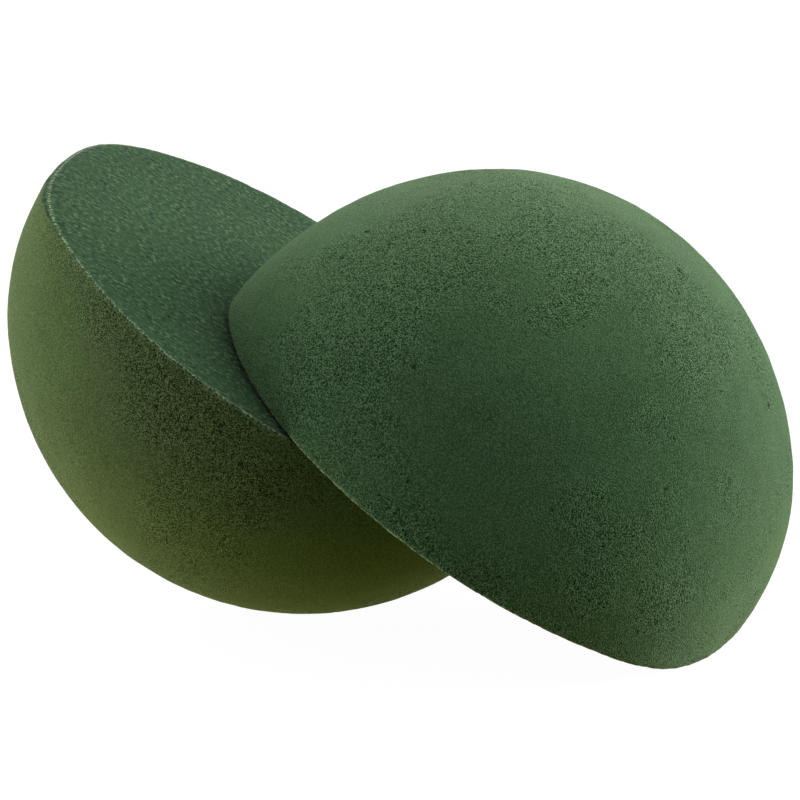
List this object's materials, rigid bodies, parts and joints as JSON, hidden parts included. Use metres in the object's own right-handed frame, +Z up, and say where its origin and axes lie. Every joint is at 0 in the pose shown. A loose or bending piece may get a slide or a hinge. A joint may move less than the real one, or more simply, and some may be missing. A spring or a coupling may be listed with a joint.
{
  "type": "floral foam ball in two halves",
  "caption": "Floral foam ball in two loose halves, one lying cut face down on the other and slid off to one side; the halves line up as a whole ball.",
  "frame": {"origin": "on the table, under the middle of the pair: halfway between the two half balls' axes", "axes": "+X is horizontal and points downhill, the way the upper half has slid; +Z is up; the pair is symmetric about the XZ plane"},
  "size_m": [0.2674, 0.2, 0.155],
  "materials": {
    "floral_foam": "matte"
  },
  "bodies": {
    "lower_half": {"lower_half": "floral_foam"},
    "upper_half": {"upper_half": "floral_foam"}
  },
  "joints": [
    {"name": "halves_slide", "type": "slide", "parent": "lower_half", "child": "upper_half", "axis": [-0.8214, 0, 0.5704], "range_m": [0, 0.082]}
  ]
}
